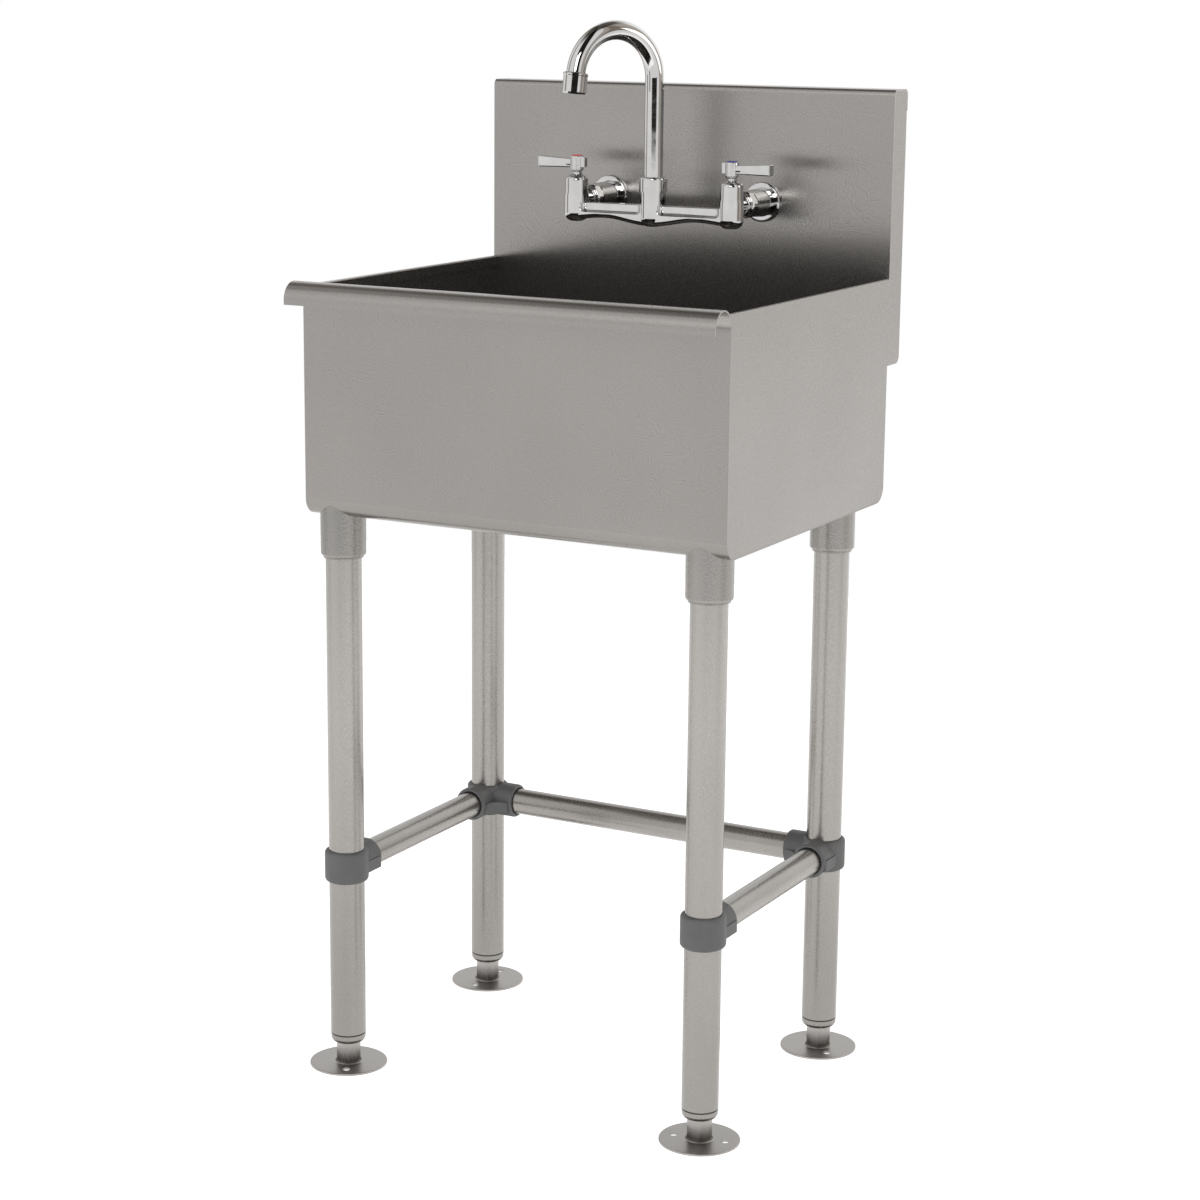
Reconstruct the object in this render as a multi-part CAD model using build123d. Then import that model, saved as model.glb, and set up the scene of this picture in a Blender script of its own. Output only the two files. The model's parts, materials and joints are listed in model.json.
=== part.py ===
from build123d import *
from math import cos, radians, sin, sqrt
import os

os.makedirs("parts", exist_ok=True)

# Freestanding hand sink: a welded sheet steel basin with a splash at its back,
# on four tube legs tied by three cross rails, with a wall faucet of two levers
# and a swinging gooseneck. Millimetres, +Z up, front towards -Y, the floor at
# z = 0 and the origin in the middle of the overall width and depth.

# Sheet metal, and how far a cut runs past the face that it opens
sheet = 2.0
past = 1.0

# Basin
basin_width = 530.0
basin_depth = 420.0
rim_height = 924.0
basin_height = 261.0
basin_bend = 19.0
side_hem_width = 6.0
side_hem_drop = 12.0
side_edge = 1.2
side_hem_round = 1.8

# Rolled front rim
roll_width = 40.0
roll_rise = 6.0
roll_lip = 5.0

# Splash behind the basin
splash_height = 216.0
splash_return = 39.0
splash_drop = 25.0
splash_bend = 7.0
end_panel_drop = 101.0
end_panel_corner = 9.0
end_flange = 20.0

# Legs and their welded sockets
leg_diameter = 41.275
leg_wall = 1.65
leg_side_inset = 32.5
leg_front_inset = 27.0
leg_rear_inset = 69.0
leg_bottom = 39.0
leg_head_room = 1.0
leg_fit = 0.3
socket_diameter = 52.0
socket_drop = 48.0
socket_cap = 5.0
socket_edge = 4.0
socket_lip = 1.6
socket_lip_wall = 2.2

# Cross rails and their cast fittings
rail_diameter = 31.75
rail_wall = 1.5
rail_height = 246.0
rail_fit = 0.25
sleeve_wall = 4.6
sleeve_height = 38.0
sleeve_edge = 4.5
sleeve_mouth = 1.2
hub_wall = 4.6
hub_reach = 45.0
hub_floor = 24.0
hub_edge = 3.5
rib_above = 2.5
rib_below = 11.0
rib_proud = 1.2
rib_chamfer = 1.5
web_start_share = 0.6
rail_end_gap = 0.5

# Set screws
screw_radius = 3.0
screw_gap = 0.1
screw_hex = 1.5
screw_hex_depth = 2.0
screw_chamfer = 0.5
screw_tip_gap = 0.2
screw_sunk = 0.3

# Adjustable flanged feet
insert_length = 50.0
insert_fit = 0.15
insert_head = 11.0
insert_head_edge = 6.5
insert_head_step = 0.2
spigot_diameter = 28.0
stud_radius = 7.95
stud_gap = 0.05
stud_length = 47.0
foot_seat_gap = 0.3
foot_plate_diameter = 91.0
foot_plate = 2.5
foot_plate_edge = 0.8
foot_collar_wall = 2.2
foot_collar_height = 2.2
foot_hole_radius = 4.5
foot_hole_circle = 60.0
foot_turn = {"front_left": -62.0, "front_right": 10.0, "rear_left": 88.0, "rear_right": -45.0}

# Faucet body
inlet_spacing = 203.2
inlet_drop = 134.0
faucet_reach = 85.0
barrel_diameter = 29.0
barrel_rise = 4.0
barrel_drop = 26.0
column_diameter = 30.0
column_rise = 11.0
column_drop = 28.0
casting_round = 10.0
arm_depth = 23.0
arm_web_depth = 10.0
arm_shelf_drop = 13.5
arm_top_drop = 3.0
arm_waist_drop = 20.5
arm_column_lift = 0.8
arm_barrel_lift = 2.0
arm_round = 2.0
arm_belly_round = 5.0
arm_waist_share = 0.52
arm_barrel_slope = -0.12
arm_scoop = 5.0
boss_radius = 9.0
boss_reach = 26.0
boss_face_diameter = 27.0
boss_face_length = 6.0
boss_face_edge = 1.2
waterway_radius = 5.0
port_radius = 3.0

# Valves and levers
bonnet_diameter = 28.5
bonnet_height = 25.0
bonnet_shoulder = 5.0
bonnet_crown = 1.5
bonnet_foot = 2.8
bonnet_foot_step = 0.7
bonnet_well_radius = 7.0
bonnet_well_depth = 1.5
bonnet_clear = 0.3
stem_radius = 4.45
stem_gap = 0.05
stem_depth = 8.0
stem_room_gap = 2.0
stem_room_depth = 13.0
lever_gap = 0.5
hub_diameter = 16.0
hub_height = 21.0
hub_neck_diameter = 11.0
hub_neck = 2.0
hub_taper = 3.0
hub_round = 1.0
hub_lug_reach = 12.0
hub_lug_width = 8.0
hub_lug_height = 12.0
hub_lug_edge = 1.5
lever_reach = 50.0
lever_root_height = 10.0
lever_tip_height = 13.0
lever_root_width = 7.5
lever_tip_width = 13.0
lever_lift = 1.0
lever_top_drop = 1.2
lever_collar_reach = 13.0
lever_collar_depth = 9.5
lever_edge = 1.4
lever_tip_edge = 1.6
index_diameter = 13.0
index_depth = 1.2
index_crown = 1.2

# Inlet shanks, nuts and wall flanges
nut_flats = 30.0
nut_length = 13.0
nut_corner = 1.1
nut_chamfer = 0.12
shank_ring_diameter = 26.0
shank_ring = 2.5
shank_sleeve_front = 30.0
shank_sleeve_rear = 34.0
shank_thread_radius = 11.2
shank_thread = 16.0
shank_tail_radius = 10.4
shank_tail = 18.0
shank_hole_gap = 0.6
flange_diameter = 47.0
flange_thickness = 5.0
flange_round = 2.5
flange_gap = 0.1
washer_diameter = 36.0
washer_thickness = 2.0
locknut_flats = 30.0
locknut_length = 7.0

# Swinging gooseneck
spout_diameter = 22.2
spout_wall = 1.6
spout_reach = 108.0
spout_rise = 197.5
spout_bend_angle = 174.0
spout_outlet_straight = 6.0
spout_turn = 29.0
spout_gap = 0.09
spout_seat_gap = 0.3
spout_socket_depth = 18.0
swivel_nut_diameter = 33.0
swivel_nut_height = 18.5
swivel_nut_groove = 1.0
swivel_nut_foot = 2.0
swivel_nut_round = 2.5
swivel_nut_well = 1.8
aerator_diameter = 29.0
aerator_taper = 0.8
aerator_ring = 3.0
aerator_ring_step = 0.6
aerator_overlap = 7.0
aerator_length = 24.0
aerator_outlet_radius = 9.5
aerator_edge = 1.0

# Drain and strainer basket
drain_back = 111.5
drain_flange_diameter = 112.0
drain_flange = 2.0
drain_cup_diameter = 88.0
drain_cup_wall = 2.0
drain_cup_depth = 38.0
drain_hole_gap = 1.0
drain_outlet_diameter = 48.3
drain_outlet_wall = 4.0
drain_outlet_length = 20.0
drain_flange_slope = 3.0
drain_base_round = 6.0
drain_base_rise = 4.0
gasket_diameter = 108.0
gasket_thickness = 2.5
gasket_gap = 0.3
drain_nut_diameter = 104.0
drain_nut_height = 8.0
drain_nut_lugs = 6
drain_nut_lug = 7.0
drain_nut_gap = 0.1
basket_rim_diameter = 80.0
basket_diameter = 68.0
basket_depth = 26.0
basket_wall = 1.2
basket_round = 4.0
basket_seat_gap = 0.3
basket_seat_room = 2.5
basket_sink = 4.0
basket_slots = 8
basket_slot = 5.0
basket_floor_slots_at = 0.55
basket_stem_diameter = 7.0
basket_knob_diameter = 14.0
basket_knob_height = 12.0
basket_knob_round = 2.0

# Places worked out from the sizes above
half_width = basin_width / 2
roll_overhang = roll_width - sheet
overall_depth = roll_overhang + basin_depth + splash_return
front_face = -overall_depth / 2 + roll_overhang
splash_face = front_face + basin_depth
rear_face = splash_face + splash_return
basin_bottom = rim_height - basin_height
splash_top = rim_height + splash_height
end_panel_bottom = rim_height - end_panel_drop
roll_radius = roll_width / 2
roll_center_y = front_face + sheet - roll_radius
roll_center_z = rim_height + roll_rise - roll_radius
leg_x = half_width - leg_side_inset
leg_front_y = front_face + leg_front_inset
leg_rear_y = splash_face - leg_rear_inset
leg_radius = leg_diameter / 2
leg_top = basin_bottom - socket_cap - leg_head_room
rail_radius = rail_diameter / 2
sleeve_radius = leg_radius + leg_fit + sleeve_wall
hub_radius = rail_radius + rail_fit + hub_wall
faucet_y = splash_face - faucet_reach
inlet_height = splash_top - inlet_drop
barrel_top = inlet_height + barrel_rise
barrel_bottom = inlet_height - barrel_drop
column_top = inlet_height + column_rise
column_bottom = inlet_height - column_drop
arm_shelf = inlet_height - arm_shelf_drop
arm_top = inlet_height - arm_top_drop
arm_waist = inlet_height - arm_waist_drop
scoop_corner = (arm_depth - arm_web_depth) / 2
spout_apex = inlet_height + spout_rise
spout_radius = spout_diameter / 2
spout_bend = spout_reach / 2
drain_y = splash_face - drain_back

corners = {
    "front_left": (-leg_x, leg_front_y),
    "front_right": (leg_x, leg_front_y),
    "rear_left": (-leg_x, leg_rear_y),
    "rear_right": (leg_x, leg_rear_y),
}
sides = {"left": -1, "right": 1}


# A named solid, or group of solids, as one file
def save(name, solid):
    solid.label = name
    export_step(solid, f"parts/{name}.step")


# An upright cylinder from one height to another
def post(x, y, low, high, radius):
    height = high - low
    return Pos(x, y, low) * Cylinder(radius, height, align=(Align.CENTER, Align.CENTER, Align.MIN))


# A cylinder that runs towards +Y from one depth to another
def rod_y(x, z, near, far, radius):
    drawn = Cylinder(radius, far - near, align=(Align.CENTER, Align.CENTER, Align.MIN))
    return Pos(x, near, z) * Rot(-90, 0, 0) * drawn


# A section drawn as radius against height, turned about an upright axis
def turned(outline, x=0.0, y=0.0):
    face = Plane.XZ * make_face(outline)
    return Pos(x, y, 0) * revolve(face, Axis.Z)


# The edges of a solid that lie at one height
def edges_at(solid, height):
    return solid.edges().filter_by_position(Axis.Z, height - 0.01, height + 0.01)


# The outer line of the wrapper, on the face that holds the water
def wrapper_line():
    inner = basin_bend - sheet
    front = front_face + sheet
    floor = basin_bottom + sheet
    lip_y = roll_center_y - roll_radius
    lip_z = roll_center_z - roll_lip
    pieces = [
        Line((lip_y, lip_z), (lip_y, roll_center_z)),
        CenterArc((roll_center_y, roll_center_z), roll_radius, 180, -180),
        Line((front, roll_center_z), (front, floor + inner)),
        CenterArc((front + inner, floor + inner), inner, 180, 90),
        Line((front + inner, floor), (splash_face - inner, floor)),
        CenterArc((splash_face - inner, floor + inner), inner, 270, 90),
        Line((splash_face, floor + inner), (splash_face, splash_top - splash_bend)),
        CenterArc((splash_face + splash_bend, splash_top - splash_bend), splash_bend, 180, -90),
        Line((splash_face + splash_bend, splash_top), (rear_face - splash_bend, splash_top)),
        CenterArc((rear_face - splash_bend, splash_top - splash_bend), splash_bend, 90, -90),
        Line((rear_face, splash_top - splash_bend), (rear_face, splash_top - splash_drop)),
    ]
    return Wire(pieces)


# One sheet bent into the roll, front, floor, back, splash and its return
def wrapper():
    section = make_face(offset(wrapper_line(), amount=sheet, side=Side.RIGHT).edges())
    body = extrude(Plane.YZ * section, half_width, both=True)
    hole = drain_cup_diameter / 2 + drain_hole_gap
    body -= post(0, drain_y, basin_bottom - past, basin_bottom + 2 * sheet, hole)
    for side in sides.values():
        x = side * inlet_spacing / 2
        radius = shank_thread_radius + shank_hole_gap
        body -= rod_y(x, inlet_height, splash_face - sheet, splash_face + 2 * sheet, radius)
    return body


# The outline of a side sheet, inside the wrapper and up against the roll
def side_outline():
    inner = basin_bend - sheet
    front = front_face + sheet
    floor = basin_bottom + sheet
    mid_y = (front + splash_face) / 2
    mid_z = (floor + rim_height) / 2
    plate = Pos(mid_y, mid_z) * Rectangle(splash_face - front, rim_height - floor)
    low = plate.vertices().group_by(Axis.Y)[0]
    plate = fillet(low, inner)
    corner = Pos(front - roll_radius / 2, (roll_center_z + rim_height) / 2)
    spandrel = corner * Rectangle(roll_radius, rim_height - roll_center_z)
    spandrel -= Pos(roll_center_y, roll_center_z) * Circle(roll_radius)
    high = spandrel.faces().sort_by(Axis.X)[-1]
    return plate + high


# A side sheet with its top edge turned in as a small round hem
def side_panel(side):
    outer = half_width
    plate = extrude(Plane.YZ.offset(outer - sheet) * side_outline(), sheet)
    top = edges_at(plate, rim_height).sort_by(Axis.X)
    plate = fillet(top[-1], side_edge)
    front = front_face + sheet
    hem_x = outer - side_hem_width
    hem = Pos(hem_x + sheet / 2, (front + splash_face) / 2, rim_height - side_hem_drop / 2)
    leg = hem * Box(sheet, splash_face - front, side_hem_drop)
    bridge_mid = Pos(outer - side_hem_width / 2, (front + splash_face) / 2, rim_height - sheet / 2)
    bridge = bridge_mid * Box(side_hem_width, splash_face - front, sheet)
    hem_piece = leg + bridge
    inside = hem_piece.edges().filter_by(Axis.Y).group_by(Axis.Z)[-1].sort_by(Axis.X)[0]
    hem_piece = fillet(inside, side_hem_round)
    slab = Pos(outer - sheet / 2, 0, rim_height) * Box(sheet, 2 * overall_depth, rim_height)
    panel = plate + (hem_piece - slab)
    return panel if side > 0 else mirror(panel, Plane.YZ)


# The end of the splash, under its return, with a flange turned in at the back
def splash_end(side):
    near = splash_face + sheet
    far = rear_face - sheet
    high = splash_top - sheet
    middle = Pos((near + far) / 2, (end_panel_bottom + high) / 2)
    plate = middle * Rectangle(far - near, high - end_panel_bottom)
    low_back = plate.vertices().group_by(Axis.Y)[0].sort_by(Axis.X)[-1]
    plate = fillet(low_back, end_panel_corner)
    plate = fillet(plate.vertices().group_by(Axis.Y)[-1], splash_bend - sheet)
    panel = extrude(Plane.YZ.offset(half_width - sheet) * plate, sheet)
    low = end_panel_bottom + end_panel_corner
    tall = splash_top - splash_drop - low
    flange_mid = Pos(half_width - end_flange / 2, far - sheet / 2, low + tall / 2)
    panel += flange_mid * Box(end_flange, sheet, tall)
    return panel if side > 0 else mirror(panel, Plane.YZ)


# The space that the wrapper takes up, filled, to cope the sockets against
def basin_block():
    low = Pos((front_face + splash_face + sheet) / 2, (basin_bottom + rim_height) / 2)
    face = low * Rectangle(basin_depth + sheet, basin_height)
    face = fillet(face.vertices().group_by(Axis.Y)[0], basin_bend)
    return extrude(Plane.YZ * face, half_width, both=True)


# A leg socket welded under the basin, coped to the round of the sheet
def leg_socket(x, y):
    low = basin_bottom - socket_drop
    radius = socket_diameter / 2
    body = post(x, y, low, basin_bottom + basin_bend, radius) - basin_block()
    body = fillet(edges_at(body, low), socket_edge)
    lip_radius = leg_radius + leg_fit + socket_lip_wall
    body += post(x, y, low - socket_lip, low + socket_edge, lip_radius)
    body -= post(x, y, low - 2 * socket_lip, basin_bottom - socket_cap, leg_radius + leg_fit)
    hole = screw_radius + screw_gap
    body -= rod_y(x, screw_height(), y, y + radius + past, hole)
    return body


# The height of the set screw in a socket, midway down it
def screw_height():
    return basin_bottom - socket_drop / 2


# A cup-ended set screw with its hexagon socket, pointing towards -Z
def set_screw(length):
    body = Cylinder(screw_radius, length, align=(Align.CENTER, Align.CENTER, Align.MIN))
    key = extrude(RegularPolygon(screw_hex, 6), screw_hex_depth)
    return chamfer((body - key).edges().group_by(Axis.Z)[-1], screw_chamfer)


# The four screws that lock the legs in their sockets
def socket_screws():
    length = socket_diameter / 2 - leg_radius - screw_tip_gap - screw_sunk
    near = leg_radius + screw_tip_gap
    group = []
    for x, y in corners.values():
        group.append(Pos(x, y + near + length, screw_height()) * Rot(90, 0, 0) * set_screw(length))
    return Compound(group)


# A straight leg tube
def leg_tube(x, y):
    tube = post(x, y, leg_bottom, leg_top, leg_radius)
    return tube - post(x, y, leg_bottom - past, leg_top + past, leg_radius - leg_wall)


# The directions that a fitting's hubs point in
def hub_directions(name):
    inward = {"left": 1, "right": -1}[name.split("_")[1]]
    if name.startswith("front"):
        return [(0, 1)]
    return [(0, -1), (inward, 0)]


# A hub drawn along +X: a round socket with a rib along each side
def hub_solid():
    barrel = Rot(0, 90, 0) * Cylinder(hub_radius, hub_reach, align=(Align.CENTER, Align.CENTER, Align.MIN))
    barrel = fillet(barrel.edges().group_by(Axis.X)[-1], hub_edge)
    rib_width = 2 * (hub_radius + rib_proud)
    rib_length = hub_reach - hub_edge
    rib_mid = Pos(rib_length / 2, 0, (rib_above - rib_below) / 2)
    rib = rib_mid * Box(rib_length, rib_width, rib_above + rib_below)
    rib = chamfer(rib.edges().filter_by(Axis.Z).group_by(Axis.X)[-1], rib_chamfer)
    return barrel + rib


# The bore of a hub and the hole for its set screw, drawn along +X
def hub_cut():
    bore = Cylinder(rail_radius + rail_fit, hub_reach, align=(Align.CENTER, Align.CENTER, Align.MIN))
    cut = Pos(hub_floor, 0, 0) * Rot(0, 90, 0) * bore
    hole = Pos(screw_reach(), 0, -hub_radius) * Cylinder(screw_radius + screw_gap, hub_radius)
    mouth = Pos(hub_reach, 0, 0) * Rot(0, 90, 0) * Cone(
        rail_radius + rail_fit, rail_radius + rail_fit + 2 * sleeve_mouth, 2 * sleeve_mouth
    )
    return cut + hole + mouth


# How far out along a hub its set screw sits
def screw_reach():
    return (hub_floor + hub_reach) / 2


# A cast fitting: a sleeve on the leg, a hub for each rail, a web between hubs
def fitting(name):
    x, y = corners[name]
    body = post(0, 0, -sleeve_height / 2, sleeve_height / 2, sleeve_radius)
    body = fillet(edges_at(body, -sleeve_height / 2) + edges_at(body, sleeve_height / 2), sleeve_edge)
    angles = [hub_angle(d) for d in hub_directions(name)]
    for angle in angles:
        body += Rot(0, 0, angle) * hub_solid()
    if len(angles) == 2:
        body += Rot(0, 0, web_angle(name)) * web_solid()
    bore = leg_radius + leg_fit
    body -= post(0, 0, -sleeve_height, sleeve_height, bore)
    body -= Pos(0, 0, sleeve_height / 2) * Cone(bore - sleeve_mouth, bore + sleeve_mouth, 2 * sleeve_mouth)
    for angle in angles:
        body -= Rot(0, 0, angle) * hub_cut()
    return Pos(x, y, rail_height) * body


# The turn about Z that points a hub drawn along +X in a direction
def hub_angle(direction):
    return {(1, 0): 0, (0, 1): 90, (-1, 0): 180, (0, -1): 270}[direction]


# The turn that puts the web between the two hubs of a rear corner
def web_angle(name):
    return 270 if name.endswith("left") else 180


# The hollow-edged web that fills the angle between two hubs
def web_solid():
    inner = hub_radius * web_start_share
    size = hub_reach - hub_edge - inner
    square = Pos(inner + size / 2, inner + size / 2) * Rectangle(size, size)
    far = inner + size
    radius = far - hub_radius - rib_proud
    shape = square - Pos(far, far) * Circle(radius)
    return Pos(0, 0, -rib_below) * extrude(shape, rib_above + rib_below)


# The screws that lock the rails in the hubs, from below
def rail_screws():
    length = hub_radius - rail_radius - screw_tip_gap - screw_sunk
    group = []
    for name, (x, y) in corners.items():
        for direction in hub_directions(name):
            px = x + direction[0] * screw_reach()
            py = y + direction[1] * screw_reach()
            low = rail_height - rail_radius - screw_tip_gap - length
            group.append(Pos(px, py, low) * set_screw(length))
    return Compound(group)


# A rail tube between two legs, along X or along Y
def rail_tube(x, y, along_x):
    span = 2 * leg_x if along_x else leg_rear_y - leg_front_y
    length = span - 2 * (hub_floor + rail_end_gap)
    tube = Cylinder(rail_radius, length) - Cylinder(rail_radius - rail_wall, length)
    turn = Rot(0, 90, 0) if along_x else Rot(90, 0, 0)
    return Pos(x, y, rail_height) * turn * tube


# The cup pressed into a leg, whose head carries the leg and takes the stud
def foot_insert(x, y):
    head = leg_bottom - insert_head
    plug = leg_radius - leg_wall - insert_fit
    low = post(x, y, head, leg_bottom, leg_radius - insert_head_step)
    low = fillet(edges_at(low, head), insert_head_edge)
    body = low + post(x, y, leg_bottom, leg_bottom + insert_length, plug)
    bore = stud_radius + stud_gap
    return body - post(x, y, head - past, leg_bottom + insert_length + past, bore)


# A foot: round plate with two floor holes, spigot and threaded stud
def foot(name):
    x, y = corners[name]
    head = leg_bottom - insert_head
    plate = Cylinder(foot_plate_diameter / 2, foot_plate)
    plate = fillet(plate.edges().group_by(Axis.Z)[-1], foot_plate_edge)
    body = Pos(0, 0, foot_plate / 2) * plate
    collar_radius = spigot_diameter / 2 + foot_collar_wall
    collar = Pos(0, 0, foot_plate + foot_collar_height / 2) * Cone(
        collar_radius, spigot_diameter / 2, foot_collar_height
    )
    top = head - foot_seat_gap
    body += collar + post(0, 0, 0, top, spigot_diameter / 2) + post(0, 0, 0, top + stud_length, stud_radius)
    for angle in (0, 180):
        hole = Rot(0, 0, foot_turn[name] + angle) * Pos(foot_hole_circle / 2, 0, 0)
        body -= hole * Cylinder(foot_hole_radius, 4 * foot_plate)
    return Pos(x, y, 0) * body


# The side of one arm seen from the front, with its wavy underside
def arm_outline():
    end = inlet_spacing / 2
    near = (0, column_bottom + arm_column_lift)
    waist = (end * arm_waist_share, arm_waist)
    far = (end, barrel_bottom + arm_barrel_lift)
    under = Spline(near, waist, far, tangents=((1, 0), (1, arm_barrel_slope)))
    rise = Line(far, (end, arm_top))
    back = Line((0, arm_top), near)
    return [under, rise, Line((end, arm_top), (0, arm_top)), back]


# How far along an arm its scoop starts, so that its corner just meets a post
def scoop_start(post_radius):
    return sqrt((post_radius + scoop_corner) ** 2 - (arm_depth / 2) ** 2) - scoop_corner


# The space scooped out of one face of an arm, rounded into the posts at its ends
def scoop(face):
    near = scoop_start(column_diameter / 2)
    far = inlet_spacing / 2 - scoop_start(barrel_diameter / 2)
    deep = 2 * arm_depth
    middle = Pos((near + far) / 2, face * (arm_web_depth + deep) / 2, arm_shelf + deep / 2)
    tool = middle * Box(far - near, deep, deep)
    inner = tool.edges().filter_by(Axis.Z).sort_by(lambda e: abs(e.center().Y))[:2]
    tool = fillet(inner, scoop_corner)
    floor = edges_at(tool, arm_shelf).filter_by(lambda e: abs(e.center().Y) < deep)
    return fillet(floor, arm_scoop)


# True where an edge of an arm is part of the lip round its scoop
def on_lip(edge):
    middle = edge @ 0.5
    inside = 0 < middle.X < inlet_spacing / 2
    top = abs(middle.Z - arm_top) < 0.01 and 0 < abs(middle.Y) < arm_depth / 2 - 0.01
    level = arm_shelf - 0.01 < middle.Z < arm_top - 0.01
    front = abs(abs(middle.Y) - arm_depth / 2) < 0.01 and level
    return inside and edge.length > arm_scoop and (top or front)


# One arm: a deep lower bar, scooped out above its shelf to leave a thin web
def arm():
    bar = extrude(Plane.XZ * make_face(arm_outline()), arm_depth / 2, both=True)
    long_edges = bar.edges().filter_by(lambda e: e.length > inlet_spacing / 2)
    bar = fillet(long_edges, arm_belly_round)
    bar -= scoop(-1) + scoop(1)
    return fillet(bar.edges().filter_by(on_lip), arm_round)


# A barrel or column with its lower end rounded
def rounded_post(x, low, high, radius):
    solid = post(x, 0, low, high, radius)
    return fillet(edges_at(solid, low), casting_round)


# The boss behind a valve, with the round face that the coupling nut meets
def boss(x):
    end = boss_reach
    face = rod_y(x, inlet_height, end - boss_face_length, end, boss_face_diameter / 2)
    face = fillet(face.edges().filter_by(GeomType.CIRCLE), boss_face_edge)
    neck = rod_y(x, inlet_height, 0, end - boss_face_edge, boss_radius)
    above = post(x, 0, barrel_top, barrel_top + boss_face_diameter, bonnet_diameter / 2 + bonnet_clear)
    return neck + face - above


# The faucet's casting: two valve barrels, a column and the arms between them
def faucet_body():
    body = rounded_post(0, column_bottom, column_top, column_diameter / 2)
    body += arm() + mirror(arm(), Plane.YZ)
    for side in sides.values():
        x = side * inlet_spacing / 2
        body += rounded_post(x, barrel_bottom, barrel_top, barrel_diameter / 2)
        body += boss(x)
        body -= post(x, 0, barrel_top - stem_room_depth, barrel_top + past, stem_radius + stem_room_gap)
        body -= rod_y(x, inlet_height, 0, boss_reach + past, port_radius)
    socket = column_top - spout_socket_depth
    body -= post(0, 0, socket, column_top + past, spout_radius + spout_gap)
    body -= post(0, 0, (barrel_bottom + arm_shelf) / 2, column_top, waterway_radius)
    return Pos(0, faucet_y, 0) * body


# A valve bonnet: a foot ring, a skirt, a round shoulder and a well for the hub
def bonnet(side):
    bore = stem_radius + stem_gap
    wide = bonnet_diameter / 2
    skirt = wide - bonnet_foot_step
    step = barrel_top + bonnet_foot
    top = barrel_top + bonnet_height
    shoulder = top - bonnet_crown - bonnet_shoulder
    turn = skirt - bonnet_shoulder
    well = bonnet_well_radius
    outline = [
        Polyline((bore, barrel_top), (wide, barrel_top), (wide, step), (skirt, step), (skirt, shoulder)),
        CenterArc((turn, shoulder), bonnet_shoulder, 0, 90),
        Polyline(
            (turn, shoulder + bonnet_shoulder), (well, top), (well, top - bonnet_well_depth),
            (bore, top - bonnet_well_depth), (bore, barrel_top),
        ),
    ]
    return turned(outline, side * inlet_spacing / 2, faucet_y)


# The turning stem between a lever and its valve
def stem(side):
    low = barrel_top - stem_depth
    high = hub_low() + hub_height / 2
    return post(side * inlet_spacing / 2, faucet_y, low, high, stem_radius)


# The underside of a lever's hub
def hub_low():
    return barrel_top + bonnet_height + lever_gap


# A lever's hub: a neck that widens to a plain round with a soft top edge
def hub():
    low = hub_low()
    top = low + hub_height
    neck = hub_neck_diameter / 2
    wide = hub_diameter / 2
    outline = Polyline(
        (0, low), (neck, low), (neck, low + hub_neck), (wide, low + hub_neck + hub_taper),
        (wide, top), (0, top), (0, low),
    )
    return fillet(edges_at(turned(outline), top), hub_round)


# The flat blade of a lever, wider and deeper towards its tip, along +X
def blade():
    root = Plane.YZ.offset(hub_diameter / 4) * Rectangle(lever_root_width, lever_root_height)
    tip = Plane.YZ.offset(lever_reach) * Rectangle(lever_tip_width, lever_tip_height)
    body = loft([root, Pos(0, 0, lever_lift) * tip])
    body = fillet(body.edges().group_by(Axis.X)[-1], lever_tip_edge)
    long_edges = body.edges().filter_by(lambda e: e.length > lever_reach / 2)
    return fillet(long_edges, lever_edge)


# The round collar where a blade meets its hub, and the lug on the far side
def hub_collar():
    ring = Cylinder(lever_collar_depth / 2, lever_collar_reach, align=(Align.CENTER, Align.CENTER, Align.MIN))
    ring = Rot(0, 90, 0) * ring
    return fillet(ring.edges().filter_by(GeomType.CIRCLE).group_by(Axis.X)[-1], lever_edge / 2)


def hub_lug():
    block = Pos(-hub_lug_reach / 2, 0, 0) * Box(hub_lug_reach, hub_lug_width, hub_lug_height)
    return fillet(block.edges().group_by(Axis.X)[0], hub_lug_edge)


# A lever: hub, blade, stem bore and the recess for its index button
def lever(side):
    low = hub_low()
    top = low + hub_height
    level = top - lever_top_drop - lever_tip_height / 2 - lever_lift
    lug_level = top - hub_round - hub_lug_height / 2
    body = hub() + Pos(0, 0, level) * (blade() + hub_collar()) + Pos(0, 0, lug_level) * hub_lug()
    body -= post(0, 0, low - past, low + hub_height / 2, stem_radius)
    body -= post(0, 0, top - index_depth, top + past, index_diameter / 2)
    turn = Rot(0, 0, 0 if side > 0 else 180)
    return Pos(side * inlet_spacing / 2, faucet_y, 0) * turn * body


# A shallow domed button that marks hot or cold
def index_button(side):
    top = hub_low() + hub_height
    disc = post(0, 0, top - index_depth, top + index_crown, index_diameter / 2)
    disc = fillet(edges_at(disc, top + index_crown), index_crown * 0.8)
    return Pos(side * inlet_spacing / 2, faucet_y, 0) * disc


# A hexagon nut drawn along +Y with chamfered corners and a round bore
def hex_nut(flats, length, bore):
    body = extrude(RegularPolygon(flats / sqrt(3), 6), length)
    rounded = Cylinder(flats * nut_corner / 2, length, align=(Align.CENTER, Align.CENTER, Align.MIN))
    body = body & chamfer(rounded.edges().filter_by(GeomType.CIRCLE), length * nut_chamfer)
    return Rot(-90, 0, 0) * (body - Cylinder(bore, 4 * length))


# The nut that draws a shank against the casting
def coupling_nut(side):
    x = side * inlet_spacing / 2
    return Pos(x, faucet_y + boss_reach, inlet_height) * hex_nut(nut_flats, nut_length, boss_radius)


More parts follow.
